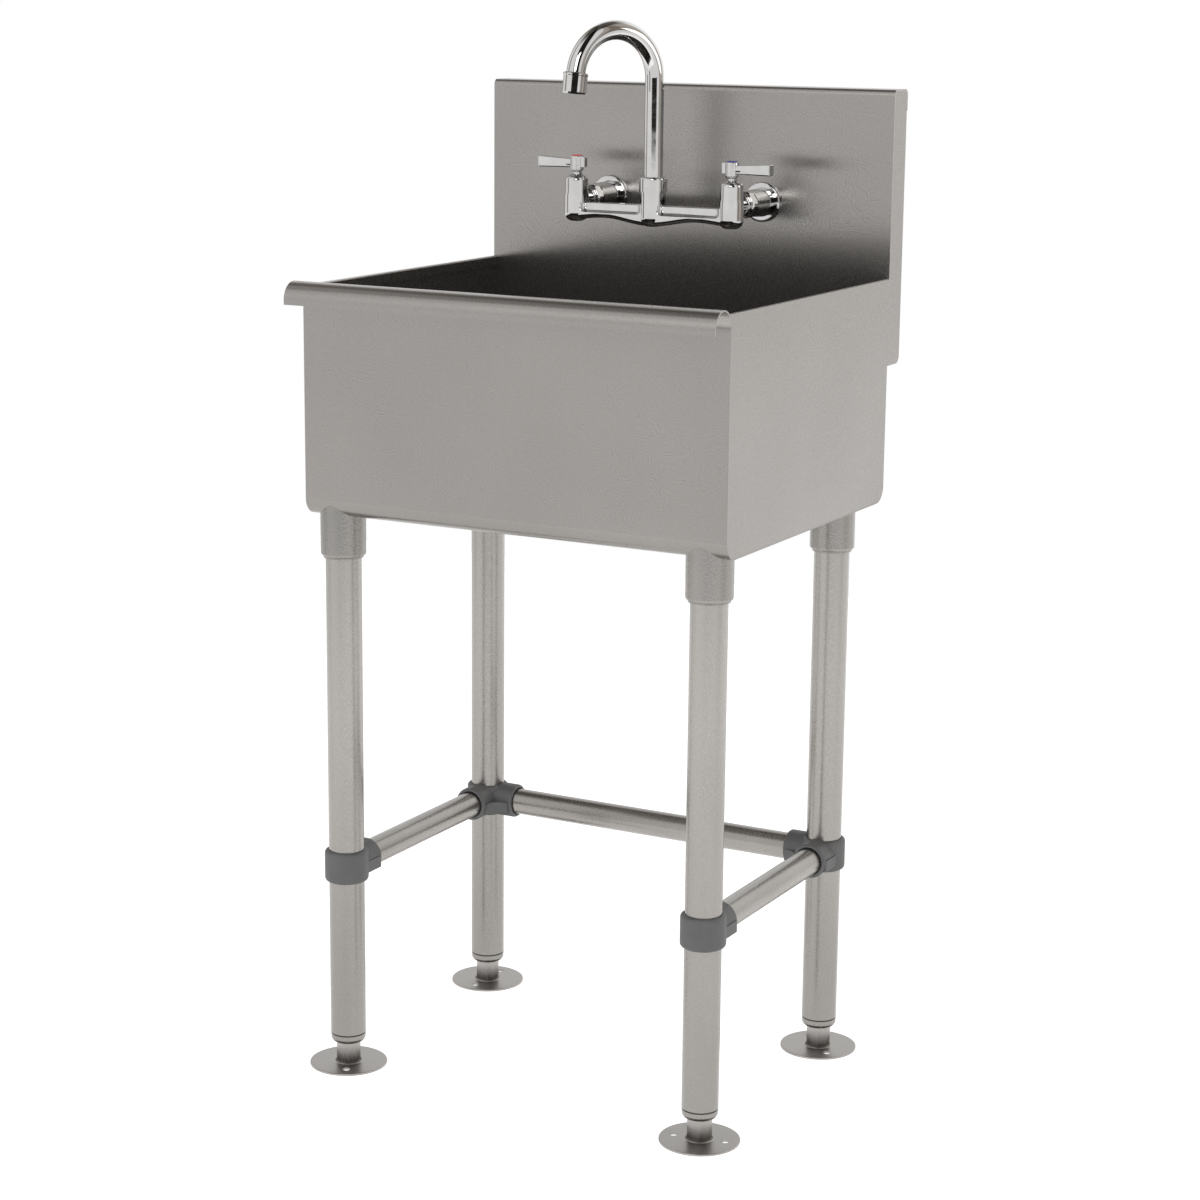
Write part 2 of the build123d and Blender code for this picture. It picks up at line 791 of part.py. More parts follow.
# An inlet shank: neck, ring, widening sleeve and the threaded tail
def shank(side):
    x = side * inlet_spacing / 2
    near = faucet_y + boss_reach
    ring = near + nut_length
    sleeve = ring + shank_ring
    flange = splash_face - flange_thickness
    thread = splash_face + shank_thread
    tail = thread + shank_tail
    body = rod_y(x, inlet_height, near, ring, boss_radius)
    body += rod_y(x, inlet_height, ring, sleeve, shank_ring_diameter / 2)
    cone = Cone(shank_sleeve_front / 2, shank_sleeve_rear / 2, flange - sleeve)
    body += Pos(x, (sleeve + flange) / 2, inlet_height) * Rot(-90, 0, 0) * cone
    body += rod_y(x, inlet_height, flange, splash_face, shank_sleeve_rear / 2)
    body += rod_y(x, inlet_height, splash_face, thread, shank_thread_radius)
    body += rod_y(x, inlet_height, thread, tail, shank_tail_radius)
    return body - rod_y(x, inlet_height, near - past, tail + past, waterway_radius)


# The round flange that covers the hole in the splash
def wall_flange(side):
    x = side * inlet_spacing / 2
    near = splash_face - flange_thickness
    disc = rod_y(x, inlet_height, near, splash_face, flange_diameter / 2)
    disc = fillet(disc.edges().group_by(Axis.Y)[0], flange_round)
    hole = shank_sleeve_rear / 2 + flange_gap
    return disc - rod_y(x, inlet_height, near - past, splash_face + past, hole)


# The washer and the locknut behind the splash
def shank_washer(side):
    x = side * inlet_spacing / 2
    near = splash_face + sheet
    disc = rod_y(x, inlet_height, near, near + washer_thickness, washer_diameter / 2)
    hole = shank_thread_radius + shank_hole_gap
    return disc - rod_y(x, inlet_height, near - past, near + 2 * washer_thickness, hole)


def shank_locknut(side):
    x = side * inlet_spacing / 2
    near = splash_face + sheet + washer_thickness
    return Pos(x, near, inlet_height) * hex_nut(locknut_flats, locknut_length, shank_thread_radius)


# The nut on the column that holds the gooseneck and lets it swing
def swivel_nut():
    wide = swivel_nut_diameter / 2
    waist = wide - swivel_nut_groove
    bore = spout_radius + spout_gap
    top = column_top + swivel_nut_height
    foot = column_top + swivel_nut_foot
    turn = wide - swivel_nut_round
    well = bore + swivel_nut_well
    outline = [
        Polyline(
            (bore, column_top), (waist, column_top), (waist, foot), (wide, foot),
            (wide, top - swivel_nut_round),
        ),
        CenterArc((turn, top - swivel_nut_round), swivel_nut_round, 0, 90),
        Polyline((turn, top), (well, top), (bore, top - swivel_nut_well), (bore, column_top)),
    ]
    return turned(outline, 0, faucet_y)


# The path of the gooseneck in its own plane, from its foot to its outlet
def spout_path(low):
    spring = spout_apex - spout_bend
    half = spout_bend_angle / 2
    mouth = spout_mouth(0)
    return Wire([
        Line((0, 0, low), (0, 0, spring)),
        ThreePointArc((0, 0, spring), bend_point(half), bend_point(spout_bend_angle)),
        Line(bend_point(spout_bend_angle), (mouth.X, mouth.Y, mouth.Z)),
    ])


# A point on the gooseneck's bend, by the angle that it has turned through
def bend_point(angle):
    turn = radians(angle)
    spring = spout_apex - spout_bend
    return (0, -spout_bend * (1 - cos(turn)), spring + spout_bend * sin(turn))


# The point on the axis of the outlet a distance back from the open end
def spout_mouth(back):
    x, y, z = bend_point(spout_bend_angle)
    turn = radians(spout_bend_angle)
    reach = spout_outlet_straight - back
    return Vector(x, y - sin(turn) * reach, z + cos(turn) * reach)


# The gooseneck tube, turned as it stands when at rest
def spout():
    low = column_top - spout_socket_depth + spout_seat_gap
    ring = Circle(spout_radius) - Circle(spout_radius - spout_wall)
    tube = sweep(Pos(0, 0, low) * ring, path=spout_path(low))
    return Pos(0, faucet_y, 0) * Rot(0, 0, -spout_turn) * tube


# The aerator on the open end of the gooseneck, drawn with that end at z = 0
def aerator():
    top = aerator_overlap
    low = top - aerator_length
    wide = aerator_diameter / 2
    waist = wide - aerator_ring_step
    foot = wide - aerator_taper
    ring = top - aerator_ring
    edge = aerator_edge
    outline = Polyline(
        (spout_radius, top - edge), (spout_radius + edge, top), (wide - edge, top), (wide, top - edge),
        (wide, ring), (waist, ring - aerator_ring_step), (foot, low + 2 * edge), (foot - edge, low),
        (aerator_outlet_radius, low), (aerator_outlet_radius, 0), (spout_radius, 0),
        (spout_radius, top - edge),
    )
    mouth = spout_mouth(0)
    tilt = Rot(spout_bend_angle - 180, 0, 0)
    place = Pos(0, faucet_y, 0) * Rot(0, 0, -spout_turn) * Pos(mouth.X, mouth.Y, mouth.Z)
    return place * tilt * turned(outline)


# The drain: flange on the basin floor, cup through it and threaded outlet
def drain_body():
    floor = basin_bottom + sheet
    cup = drain_cup_diameter / 2
    base = floor - drain_cup_depth
    low = base - drain_outlet_length
    pipe = drain_outlet_diameter / 2
    bore = pipe - drain_outlet_wall
    wall = drain_cup_wall
    ledge = basket_seat_radius()
    lip = drain_flange_diameter / 2
    high = floor + drain_flange
    seat = basket_seat()
    outline = Polyline(
        (lip, floor), (lip - drain_flange_slope, high), (cup - wall, high), (cup - wall, seat), (ledge, seat),
        (ledge, seat - wall), (cup - wall, seat - 2 * wall), (cup - wall, base + drain_base_round),
        (bore + drain_base_round, base + wall), (bore, base), (bore, low), (pipe, low), (pipe, base - wall),
        (cup, base + drain_base_rise), (cup, floor), (lip, floor),
    )
    return turned(outline, 0, drain_y)


# The ledge in the drain's cup that carries the basket
def basket_seat():
    return basin_bottom + sheet - basket_sink


def basket_seat_radius():
    return basket_diameter / 2 + basket_seat_room


# The rubber ring and the lugged nut under the basin floor
def drain_gasket():
    outer = gasket_diameter / 2
    inner = drain_cup_diameter / 2 + gasket_gap
    ring = post(0, drain_y, basin_bottom - gasket_thickness, basin_bottom, outer)
    return ring - post(0, drain_y, basin_bottom - 2 * gasket_thickness, basin_bottom + past, inner)


def drain_nut():
    top = basin_bottom - gasket_thickness
    low = top - drain_nut_height
    radius = drain_nut_diameter / 2
    ring = post(0, drain_y, low, top, radius - drain_nut_lug / 2)
    for place in PolarLocations(radius - drain_nut_lug, drain_nut_lugs):
        lug = Pos(0, drain_y, (low + top) / 2) * place
        ring += lug * Box(2 * drain_nut_lug, 2 * drain_nut_lug, drain_nut_height)
    ring = ring & post(0, drain_y, low, top, radius)
    return ring - post(0, drain_y, low - past, top + past, drain_cup_diameter / 2 + drain_nut_gap)


# The lift-out strainer: a rimmed cup with slots and a finger knob
def strainer_basket():
    rim_low = basket_seat() + basket_seat_gap
    rim = basket_rim_diameter / 2
    outer = basket_diameter / 2
    low = rim_low - basket_depth
    wall = basket_wall
    outline = Polyline(
        (0, low), (outer - basket_round, low), (outer, low + basket_round), (outer, rim_low),
        (rim, rim_low), (rim, rim_low + wall), (outer - wall, rim_low + wall),
        (outer - wall, low + basket_round + wall / 2), (outer - basket_round - wall / 2, low + wall),
        (0, low + wall), (0, low),
    )
    body = turned(outline)
    for place in PolarLocations(outer, basket_slots):
        body -= place * Pos(0, 0, low + basket_depth / 2) * Box(basket_round, basket_slot, basket_depth / 2)
    for place in PolarLocations(outer * basket_floor_slots_at, basket_slots):
        body -= place * Pos(0, 0, low) * Box(outer / 2, basket_slot, 4 * wall)
    post_top = rim_low + wall
    body += post(0, 0, low, post_top - basket_knob_height / 2, basket_stem_diameter / 2)
    knob = post(0, 0, post_top - basket_knob_height, post_top, basket_knob_diameter / 2)
    body += fillet(edges_at(knob, post_top), basket_knob_round)
    return Pos(0, drain_y, 0) * body


# Every piece by its name
def build():
    save("basin_wrapper", wrapper())
    for word, side in sides.items():
        save(f"side_panel_{word}", side_panel(side))
        save(f"splash_end_{word}", splash_end(side))
        save(f"valve_bonnet_{word}", bonnet(side))
        save(f"valve_stem_{word}", stem(side))
        save(f"lever_{word}", lever(side))
        save(f"coupling_nut_{word}", coupling_nut(side))
        save(f"inlet_shank_{word}", shank(side))
        save(f"wall_flange_{word}", wall_flange(side))
        save(f"shank_washer_{word}", shank_washer(side))
        save(f"shank_locknut_{word}", shank_locknut(side))
        save(f"cross_rail_{word}", rail_tube(side * leg_x, (leg_front_y + leg_rear_y) / 2, False))
    save("cross_rail_rear", rail_tube(0, leg_rear_y, True))
    save("index_hot", index_button(sides["left"]))
    save("index_cold", index_button(sides["right"]))
    for name, (x, y) in corners.items():
        save(f"leg_socket_{name}", leg_socket(x, y))
        save(f"leg_tube_{name}", leg_tube(x, y))
        save(f"rail_fitting_{name}", fitting(name))
        save(f"foot_insert_{name}", foot_insert(x, y))
        save(f"foot_{name}", foot(name))
    save("socket_screws", socket_screws())
    save("rail_screws", rail_screws())
    save("faucet_body", faucet_body())
    save("swivel_nut", swivel_nut())
    save("spout", spout())
    save("aerator", aerator())
    save("drain_body", drain_body())
    save("drain_gasket", drain_gasket())
    save("drain_nut", drain_nut())
    save("strainer_basket", strainer_basket())


build()
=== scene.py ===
# %% [markdown]
# # A freestanding hand sink
# This lesson dresses a finished CAD model of a steel hand sink. The solids
# arrive with their real sizes and places, so nothing is moved here. What is
# left is what the eye reads as real: the view, the light, the finish of each
# metal, and the fine parts that are too small for the solids.

# %% Load the solids
import bpy
import bmesh
import json
from math import atan2, cos, pi, radians, sin, sqrt
from mathutils import Matrix, Vector


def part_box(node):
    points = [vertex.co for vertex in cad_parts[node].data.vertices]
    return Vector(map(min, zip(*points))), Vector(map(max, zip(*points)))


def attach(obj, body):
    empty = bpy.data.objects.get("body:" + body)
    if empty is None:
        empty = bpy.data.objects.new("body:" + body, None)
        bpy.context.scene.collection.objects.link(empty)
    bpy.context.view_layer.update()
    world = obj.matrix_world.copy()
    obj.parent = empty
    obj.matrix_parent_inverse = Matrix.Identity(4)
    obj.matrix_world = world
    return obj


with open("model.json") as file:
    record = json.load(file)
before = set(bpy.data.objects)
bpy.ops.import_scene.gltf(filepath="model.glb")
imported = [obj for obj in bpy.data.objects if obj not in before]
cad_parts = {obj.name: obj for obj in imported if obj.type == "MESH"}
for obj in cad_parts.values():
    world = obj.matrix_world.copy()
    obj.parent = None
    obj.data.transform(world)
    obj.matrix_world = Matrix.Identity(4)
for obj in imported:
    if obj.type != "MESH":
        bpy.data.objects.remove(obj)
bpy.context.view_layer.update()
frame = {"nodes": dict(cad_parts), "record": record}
nodes = frame["nodes"]
scene = bpy.context.scene

# %% [markdown]
# ## The photograph's view
# A product photo is taken from well back with a long lens, so upright legs
# stay nearly parallel. The place, the turn and the lens below were worked out
# from the rim, the legs and the foot plates in the photograph. The turn is
# built from three plain angles, so each can be changed by itself.

# %% Camera
camera_place = Vector((1.4958, -2.7824, 1.2502))
camera_yaw = radians(28.232)
camera_pitch = radians(-12.431)
camera_roll = radians(0.569)
camera_lens = 83.30
film_width = 36.0
sight_end = 100.0

ahead = Vector((
    -sin(camera_yaw) * cos(camera_pitch),
    cos(camera_yaw) * cos(camera_pitch),
    sin(camera_pitch),
))
level = Vector((cos(camera_yaw), sin(camera_yaw), 0.0))
above = level.cross(ahead)
right = cos(camera_roll) * level + sin(camera_roll) * above
upward = cos(camera_roll) * above - sin(camera_roll) * level
turn = Matrix((right, upward, -ahead)).transposed().to_4x4()

camera_data = bpy.data.cameras.new("photo_camera")
camera_data.lens = camera_lens
camera_data.sensor_width = film_width
camera_data.sensor_fit = "HORIZONTAL"
camera_data.clip_end = sight_end
camera = bpy.data.objects.new("photo_camera", camera_data)
camera.matrix_world = Matrix.Translation(camera_place) @ turn
scene.collection.objects.link(camera)
scene.camera = camera
scene.view_settings.view_transform = "Standard"
print("camera at", [round(v, 3) for v in camera_place], "lens", camera_lens)

# %% [markdown]
# ## Short words for shader nodes
# Each finish below is a small network of nodes. Writing every node out in full
# hides what matters, so a few helpers do the typing. The first three put a
# value or a link into a socket, make a node, and do a step of arithmetic.

# %% Words for nodes
def feed(tree, socket, value):
    if isinstance(value, bpy.types.NodeSocket):
        tree.links.new(value, socket)
    else:
        socket.default_value = value


def add_node(tree, kind, **sockets):
    node = tree.nodes.new(kind)
    for name, value in sockets.items():
        feed(tree, node.inputs[name.replace("_", " ")], value)
    return node


def calculate(tree, operation, *values):
    node = tree.nodes.new("ShaderNodeMath")
    node.operation = operation
    for socket, value in zip(node.inputs, values):
        feed(tree, socket, value)
    return node.outputs["Value"]


print("words for nodes ready")

# %% [markdown]
# ## Patterns in metres
# A finish needs a pattern, and the pattern needs a place. Object coordinates
# measure in metres on the piece itself, so a grain keeps its true size and
# moves with the piece. Stretching the coordinates turns round grains into
# lines. A noise gathers round its middle, so its middle part is spread out to
# the range that a finish asks for. Some patterns belong to one height only,
# and a height below every piece switches them off.

# %% Words for patterns
even = (1.0, 1.0, 1.0)
below_all = -1.0


def grain(tree, stretch, scale, detail=2.0):
    place = add_node(tree, "ShaderNodeTexCoord")
    drawn = add_node(tree, "ShaderNodeMapping", Vector=place.outputs["Object"], Scale=stretch)
    noise = add_node(tree, "ShaderNodeTexNoise", Vector=drawn.outputs["Vector"], Scale=scale, Detail=detail)
    return noise.outputs["Fac"]


def height_on_object(tree):
    place = add_node(tree, "ShaderNodeTexCoord")
    parts = add_node(tree, "ShaderNodeSeparateXYZ", Vector=place.outputs["Object"])
    return parts.outputs["Z"]


def spread(tree, value, low=0.0, high=1.0, from_low=0.3, from_high=0.7):
    ranged = add_node(tree, "ShaderNodeMapRange", Value=value, From_Min=from_low, From_Max=from_high)
    feed(tree, ranged.inputs["To Min"], low)
    feed(tree, ranged.inputs["To Max"], high)
    return ranged.outputs["Result"]


print("words for patterns ready")

# %% [markdown]
# ## Colours and relief
# A pattern can slide a metal's colour between a dark and a light one, or darken
# it by multiplying, which below paints shade on the sheet and the tubes. It can
# also tilt the surface a little, which a bump node does without adding any
# faces. The middle roughness that a finish starts with is what a viewer shows
# that can't read the patterns.

# %% Words for colours
def solid_colour(colour):
    return colour if isinstance(colour, bpy.types.NodeSocket) else (*colour, 1.0)


def blend_colours(tree, way, share, first, second):
    mixed = tree.nodes.new("ShaderNodeMix")
    mixed.data_type = "RGBA"
    mixed.blend_type = way
    feed(tree, mixed.inputs["Factor"], share)
    feed(tree, mixed.inputs["A"], solid_colour(first))
    feed(tree, mixed.inputs["B"], solid_colour(second))
    return mixed.outputs["Result"]


def tint(tree, value, dark, light):
    return blend_colours(tree, "MIX", value, dark, light)


# multiplies a colour darker: painted shade on the sheet and the tubes, flags in the air
def darken_by(tree, colour, shade):
    return blend_colours(tree, "MULTIPLY", 1.0, colour, shade)


print("words for colours ready")


# %% Words for a finish
def new_finish(name, metallic, roughness):
    material = bpy.data.materials.new(name)
    material.use_nodes = True
    tree = material.node_tree
    surface = tree.nodes["Principled BSDF"]
    surface.inputs["Metallic"].default_value = metallic
    surface.inputs["Roughness"].default_value = roughness
    return material, tree, surface


def relief(tree, surface, height, depth, strength):
    bump = add_node(tree, "ShaderNodeBump", Height=height, Strength=strength, Distance=depth)
    feed(tree, surface.inputs["Normal"], bump.outputs["Normal"])


def paint(material, *names):
    for name in names:
        slots = nodes[name].data.materials
        slots.clear()
        slots.append(material)
    print(material.name, "on", len(names), "solids")


print("words for a finish ready")

# %% [markdown]
# ## Satin sheet
# The basin and the splash are stainless sheet with a satin finish. Belts rub
# fine parallel scratches into it, always along the sheet's long way, and hands
# and water leave faint clouds. Stretching a noise along one axis gives the
# scratches, and a second, larger noise gives the clouds. Real scratches are too
# fine to be seen one by one, and what the eye notices is that every reflection
# is drawn out across them. So the gloss is anisotropic, turned to follow the
# scratches, and a fine haze varies its roughness from place to place. A band of
# painted shade darkens the bend at the basin's bottom and its bright reflection.

# %% Sheet values
steel_dark = (0.343, 0.328, 0.313)
steel_light = (0.368, 0.352, 0.336)
sheet_gloss = (0.18, 0.34)
scratch_scale = 9.0
scratch_detail = 3.0
scratch_share = (0.07, 0.18)
cloud_scale = 4.0
cloud_share = 0.75
rubbed_range = (0.38, 0.62)
haze_scale = 1500.0
ripple_scale = 260.0
ripple_depth = 0.000006
ripple_strength = 0.5
drawn_out = 0.85
# painted shade along the bottom bend: its height, its soft edge and how dark it is
bend_height = 0.0194
bend_fade = 0.0014
bend_shade_level = 0.83
bend_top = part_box("basin_wrapper")[0][2] + bend_height
print("bend ends at", round(bend_top, 4), "m")


# %% Sheet finish
def satin_sheet(name, stretch, axis, rotation, painted_shade_under=below_all):
    material, tree, surface = new_finish(name, 0.93, 0.26)
    scratch = spread(tree, grain(tree, stretch, scratch_scale, scratch_detail), *scratch_share)
    cloud = grain(tree, even, cloud_scale)
    rubbed = calculate(tree, "MULTIPLY_ADD", cloud, cloud_share, scratch)
    colour = tint(tree, spread(tree, rubbed, 0.0, 1.0, *rubbed_range), steel_dark, steel_light)
    # painted shade on the bend at the basin's bottom
    bend_painted_shade = spread(tree, height_on_object(tree), bend_shade_level, 1.0, painted_shade_under - bend_fade, painted_shade_under)
    feed(tree, surface.inputs["Base Color"], darken_by(tree, colour, bend_painted_shade))
    haze = grain(tree, even, haze_scale, 1.0)
    feed(tree, surface.inputs["Roughness"], spread(tree, haze, *sheet_gloss))
    relief(tree, surface, grain(tree, even, ripple_scale, 1.0), ripple_depth, ripple_strength)
    brushed = add_node(tree, "ShaderNodeTangent")
    brushed.direction_type = "RADIAL"
    brushed.axis = axis
    feed(tree, surface.inputs["Tangent"], brushed.outputs["Tangent"])
    surface.inputs["Anisotropic"].default_value = drawn_out
    surface.inputs["Anisotropic Rotation"].default_value = rotation
    return material


sheet_round = satin_sheet("satin_sheet_round", (320.0, 1.2, 1.2), "X", 0.25, bend_top)
sheet_along = satin_sheet("satin_sheet_along", (320.0, 1.2, 320.0), "Z", 0.0)
sheet_upright = satin_sheet("satin_sheet_upright", (320.0, 320.0, 1.2), "Z", 0.0)
paint(sheet_round, "basin_wrapper")
paint(sheet_along, "side_panel_left", "side_panel_right")
paint(sheet_upright, "splash_end_left", "splash_end_right")

# %% [markdown]
# ## Tube and sockets
# The legs and rails are bright tube. Drawing and polishing leave a skin that
# is smooth along the tube but slightly pebbled, which breaks up its highlight.
# A round noise about two millimetres wide gives the pebbles, and it feeds a
# bump, because mostly the slope of the skin changes and not its colour. Low
# down the tube is painted darker, as painted shade, and a dark line
# shows where the foot's insert meets the end of the tube.

# %% Tube values
corner_names = ["front_left", "front_right", "rear_left", "rear_right"]
tube_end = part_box("leg_tube_front_left")[0][2]
seam_height = 0.0009
seam_dark = (0.05, 0.048, 0.045)
pebble_scale = 520.0
pebble_stretch = (1.0, 1.0, 0.7)
pebble_gloss = 0.05
pebble_strength = 0.6
skin_stretch = (1.0, 1.0, 0.25)
skin_scale = 14.0
# painted shade low on the tubes: how dark, and the heights where it is full and where it ends
low_shade_level = 0.78
low_shade_full_below = 0.10
low_shade_ends_above = 0.48
print("legs end at", round(tube_end, 4), "m")


# %% Tube finish
def pebbled_tube(name, roughness, depth, dark, light, seam_at=below_all):
    material, tree, surface = new_finish(name, 1.0, roughness)
    pebble = grain(tree, pebble_stretch, pebble_scale, 1.5)
    cloud = grain(tree, skin_stretch, skin_scale)
    colour = tint(tree, spread(tree, cloud), dark, light)
    height = height_on_object(tree)
    # painted shade, darker towards the bottom
    low_shaded = darken_by(tree, colour, spread(tree, height, low_shade_level, 1.0, low_shade_full_below, low_shade_ends_above))
    seam = calculate(tree, "COMPARE", height, seam_at, seam_height)
    feed(tree, surface.inputs["Base Color"], tint(tree, seam, low_shaded, seam_dark))
    gloss = spread(tree, pebble, roughness - pebble_gloss, roughness + pebble_gloss)
    feed(tree, surface.inputs["Roughness"], gloss)
    relief(tree, surface, pebble, depth, pebble_strength)
    return material


tube_pebbles = 0.000012
tube_colours = [(0.37, 0.355, 0.335), (0.41, 0.395, 0.375)]
socket_pebbles = 0.00025
socket_colours = [(0.28, 0.27, 0.256), (0.33, 0.318, 0.303)]
leg_finish = pebbled_tube("bright_tube", 0.29, tube_pebbles, *tube_colours, tube_end)
socket_finish = pebbled_tube("pebbled_socket", 0.28, socket_pebbles, *socket_colours)
paint(leg_finish, *[f"leg_tube_{c}" for c in corner_names])
paint(leg_finish, "cross_rail_left", "cross_rail_right", "cross_rail_rear")
paint(leg_finish, *[f"foot_insert_{c}" for c in corner_names])
paint(socket_finish, *[f"leg_socket_{c}" for c in corner_names])

# %% [markdown]
# ## Cast fittings
# The joints of the rails are castings with a dull grey skin. A full metal
# would mirror too much, because the skin that a mould leaves scatters light
# nearly all ways. So the finish is mostly a diffuse grey with a weak broad
# gloss, a fine grain, and slightly darker patches.

# %% Casting finish
casting_dark = (0.140, 0.141, 0.143)
casting_light = (0.182, 0.183, 0.185)
casting_gloss = (0.48, 0.62)
sand_scale = 900.0
sand_depth = 0.00008
sand_strength = 0.5
patch_scale = 40.0
casting, tree, surface = new_finish("dull_casting", 0.35, 0.55)
patch = grain(tree, even, patch_scale, 3.0)
feed(tree, surface.inputs["Base Color"], tint(tree, spread(tree, patch), casting_dark, casting_light))
feed(tree, surface.inputs["Roughness"], spread(tree, patch, *casting_gloss))
relief(tree, surface, grain(tree, even, sand_scale), sand_depth, sand_strength)
paint(casting, *[f"rail_fitting_{c}" for c in corner_names])

# %% [markdown]
# ## Feet
# Each foot was turned on a lathe, which leaves rings round its own axis, so a
# noise squeezed along the axis makes the bump. Where the spigot meets the plate
# its foot is painted darker, a painted shade with a ragged upper edge: the height
# is shifted by a speckle before it is compared with the shade's limits.

# %% Foot finish
foot_dark = (0.37, 0.355, 0.34)
foot_light = (0.45, 0.435, 0.42)
foot_gloss = (0.32, 0.44)
foot_cloud_scale = 35.0
ring_stretch = (30.0, 30.0, 900.0)
ring_depth = 0.00003
ring_strength = 0.4
# painted shade at the foot of the spigot: its colour, its ragged edge and its heights
spigot_shade_colour = (0.13, 0.12, 0.112)
shade_speck_scale = 700.0
shade_speck_stretch = (1.0, 1.0, 0.4)
shade_ragged = 0.010
plate_top = 0.0030
plate_clear = 0.0034
shade_full_below = 0.011
shade_ends_above = 0.029
foot_finish, tree, surface = new_finish("turned_foot", 1.0, 0.38)
cloud = grain(tree, even, foot_cloud_scale)
bright = tint(tree, spread(tree, cloud), foot_dark, foot_light)
height = height_on_object(tree)
speck = grain(tree, shade_speck_stretch, shade_speck_scale)
ragged = calculate(tree, "MULTIPLY_ADD", speck, shade_ragged, height)
above_plate = spread(tree, height, 0.0, 1.0, plate_top, plate_clear)
low_on_spigot = spread(tree, ragged, 1.0, 0.0, shade_full_below, shade_ends_above)
# painted shade just above the plate
spigot_shade = calculate(tree, "MULTIPLY", above_plate, low_on_spigot)
feed(tree, surface.inputs["Base Color"], tint(tree, spigot_shade, bright, spigot_shade_colour))
feed(tree, surface.inputs["Roughness"], spread(tree, cloud, *foot_gloss))
relief(tree, surface, grain(tree, ring_stretch, 1.0, 1.0), ring_depth, ring_strength)
paint(foot_finish, *[f"foot_{c}" for c in corner_names])

# %% [markdown]
# ## Chrome
# The faucet is polished brass under chrome. Chrome shows the room rather than
# itself, so its own part is small: a very low roughness with a few smears, a
# grey that is nearly neutral, and the soft waviness that polishing a casting
# always leaves. Its bright and dark streaks could be painted on, but then they
# would stay put when the view turns, so they come from the room further down.

# %% Chrome finish
chrome_dark = (0.57, 0.565, 0.56)
chrome_light = (0.62, 0.615, 0.61)
chrome_gloss = (0.03, 0.07)
wave_scale = 60.0
wave_depth = 0.00015
wave_strength = 0.25
smear_scale = 120.0
chrome, tree, surface = new_finish("polished_chrome", 1.0, 0.06)
wave = grain(tree, even, wave_scale, 1.0)
smear = grain(tree, even, smear_scale, 3.0)
feed(tree, surface.inputs["Base Color"], tint(tree, spread(tree, wave), chrome_dark, chrome_light))
feed(tree, surface.inputs["Roughness"], spread(tree, smear, *chrome_gloss))
relief(tree, surface, wave, wave_depth, wave_strength)
side_names = ["left", "right"]
chromed = ["faucet_body", "swivel_nut", "spout", "aerator"]
for side in side_names:
    chromed += [f"valve_bonnet_{side}", f"lever_{side}", f"coupling_nut_{side}"]
    chromed += [f"valve_stem_{side}", f"inlet_shank_{side}", f"wall_flange_{side}"]
paint(chrome, *chromed)

# %% [markdown]
# ## The small metal parts
# Brass for the turned nuts behind and below the sheet, a darker plain steel
# for screws and washers, and a soft satin for the drain. They share one
# recipe, a fine speckle in colour, gloss and relief, because at their size
# only the metal's tone and its gloss tell them apart.

# %% Small metals
speck_brighter = 0.06
speck_duller = 0.08
speck_depth = 0.00005
speck_strength = 0.3


def plain_metal(name, dark, light, roughness, scale):
    material, tree, surface = new_finish(name, 1.0, roughness)
    speck = grain(tree, even, scale, 3.0)
    feed(tree, surface.inputs["Base Color"], tint(tree, spread(tree, speck), dark, light))
    gloss = spread(tree, speck, roughness - speck_brighter, roughness + speck_duller)
    feed(tree, surface.inputs["Roughness"], gloss)
    relief(tree, surface, speck, speck_depth, speck_strength)
    return material


brass = plain_metal("turned_brass", (0.50, 0.37, 0.17), (0.62, 0.48, 0.25), 0.30, 150.0)
screw_steel = plain_metal("screw_steel", (0.22, 0.22, 0.225), (0.33, 0.33, 0.335), 0.36, 260.0)
drain_steel = plain_metal("drain_steel", (0.36, 0.35, 0.34), (0.44, 0.43, 0.42), 0.26, 90.0)
paint(brass, "shank_locknut_left", "shank_locknut_right", "drain_nut")
paint(screw_steel, "socket_screws", "rail_screws", "shank_washer_left", "shank_washer_right")
paint(drain_steel, "drain_body", "strainer_basket")

# %% [markdown]
# ## Rubber and the index buttons
# The drain's gasket is black rubber, matt and a little dusty. The two buttons
# on the levers tell hot from cold. They are glossy enamel, so they are the
# only strong colours, and a faint fleck keeps them from looking like paper.

# %% Rubber
rubber_dark = (0.018, 0.018, 0.018)
rubber_light = (0.035, 0.035, 0.034)
rubber_gloss = (0.68, 0.85)
dust_scale = 300.0
dust_depth = 0.00006
dust_strength = 0.5
rubber, tree, surface = new_finish("gasket_rubber", 0.0, 0.75)
dust = grain(tree, even, dust_scale, 3.0)
feed(tree, surface.inputs["Base Color"], tint(tree, spread(tree, dust), rubber_dark, rubber_light))
feed(tree, surface.inputs["Roughness"], spread(tree, dust, *rubber_gloss))
relief(tree, surface, dust, dust_depth, dust_strength)
paint(rubber, "drain_gasket")


# %% Index buttons
fleck_scale = 700.0
enamel_gloss = (0.14, 0.24)


def enamel(name, dark, light):
    material, tree, surface = new_finish(name, 0.0, 0.18)
    fleck = grain(tree, even, fleck_scale)
    feed(tree, surface.inputs["Base Color"], tint(tree, spread(tree, fleck), dark, light))
    feed(tree, surface.inputs["Roughness"], spread(tree, fleck, *enamel_gloss))
    return material


paint(enamel("hot_red", (0.66, 0.055, 0.050), (0.82, 0.085, 0.080)), "index_hot")
paint(enamel("cold_blue", (0.022, 0.050, 0.270), (0.040, 0.080, 0.360)), "index_cold")

